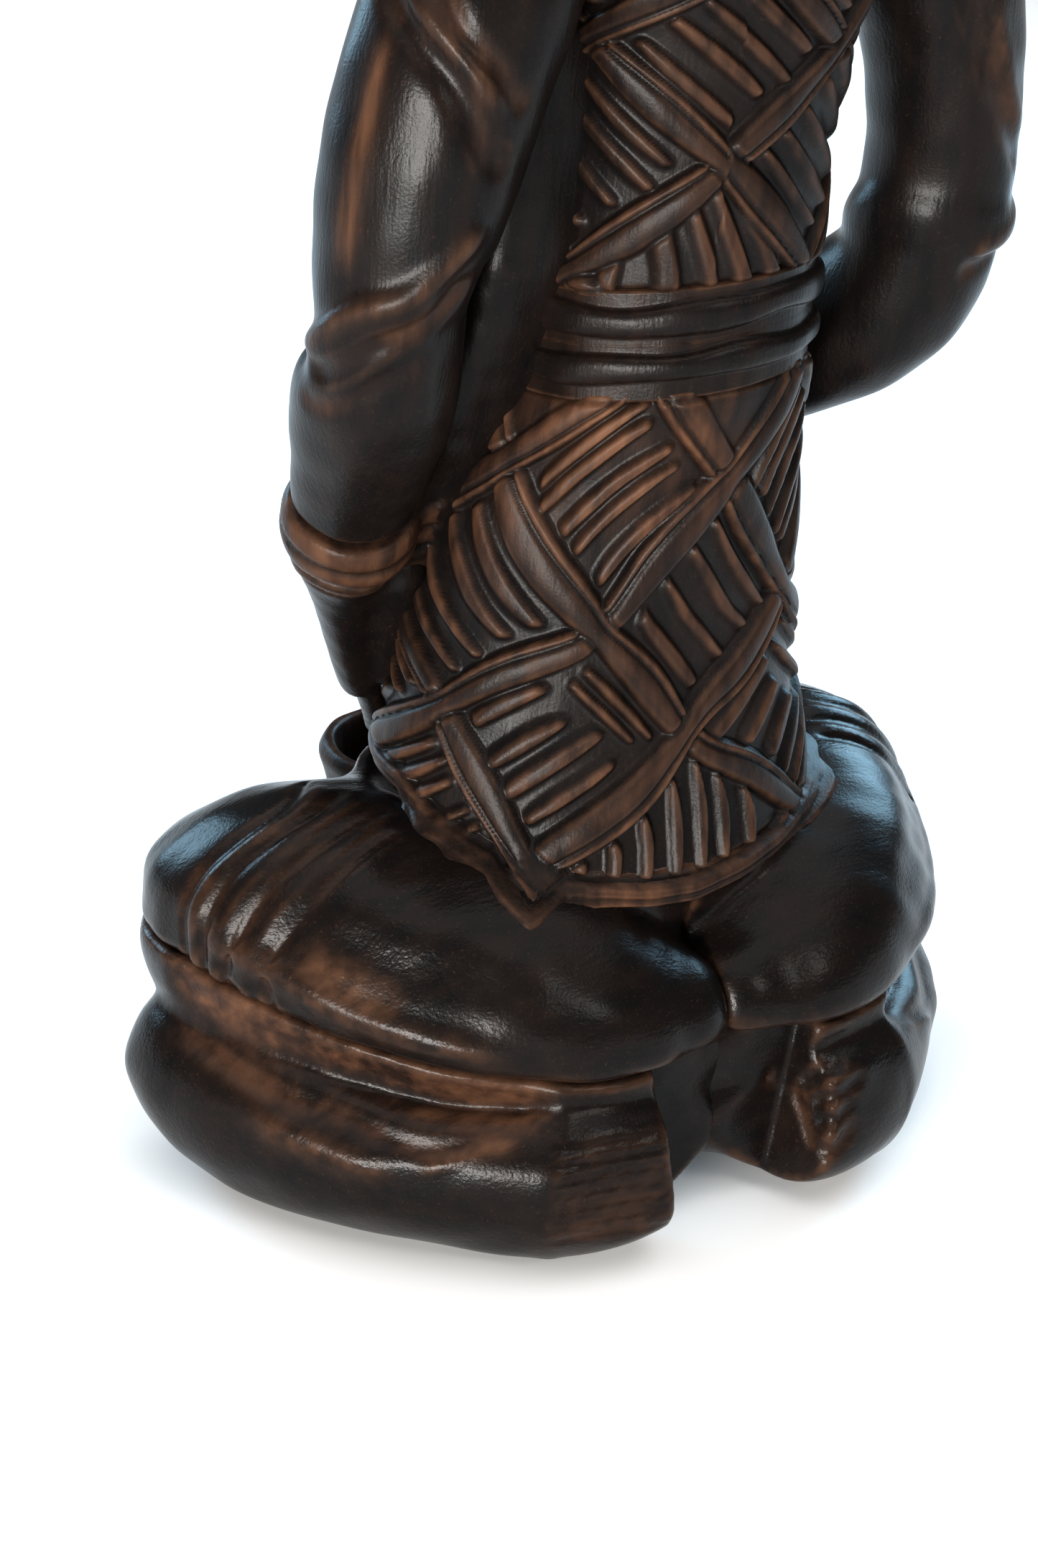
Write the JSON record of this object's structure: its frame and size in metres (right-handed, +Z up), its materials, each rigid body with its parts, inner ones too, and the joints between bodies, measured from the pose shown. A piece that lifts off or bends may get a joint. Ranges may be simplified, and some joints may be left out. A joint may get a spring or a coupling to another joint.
{
  "type": "carved ancestor figure",
  "caption": "Kneeling figure carved in dark wood, in a lattice-carved wrapped garment with a waist belt, one hand on a bowl between its knees",
  "frame": {"origin": "middle of the footprint, on the surface that the figure stands on", "axes": "+Z up, -Y the way the figure faces, +X towards the figure's left hand"},
  "size_m": [0.1856, 0.1486, 0.3475],
  "materials": {
    "dark_wood": "black-brown stain worn to brown on the edges and in the cuts, waxed to a soft gloss"
  },
  "bodies": {
    "root": {"belt_lower_band": "dark_wood", "belt_upper_band": "dark_wood", "bodice": "dark_wood", "bowl": "dark_wood", "hair_cap": "dark_wood", "head": "dark_wood", "left_bracelet": "dark_wood", "left_ear": "dark_wood", "left_foot": "dark_wood", "left_forearm": "dark_wood", "left_arm_web": "dark_wood", "left_hand": "dark_wood", "left_lower_leg": "dark_wood", "left_sleeve_fold": "dark_wood", "left_thigh": "dark_wood", "left_upper_arm": "dark_wood", "left_wrist_cuff": "dark_wood", "neck": "dark_wood", "right_bracelet": "dark_wood", "right_ear": "dark_wood", "right_foot": "dark_wood", "right_forearm": "dark_wood", "right_hand": "dark_wood", "right_lower_leg": "dark_wood", "right_sleeve_fold": "dark_wood", "right_thigh": "dark_wood", "right_upper_arm": "dark_wood", "right_wrist_cuff": "dark_wood", "wrapper": "dark_wood"}
  },
  "joints": []
}
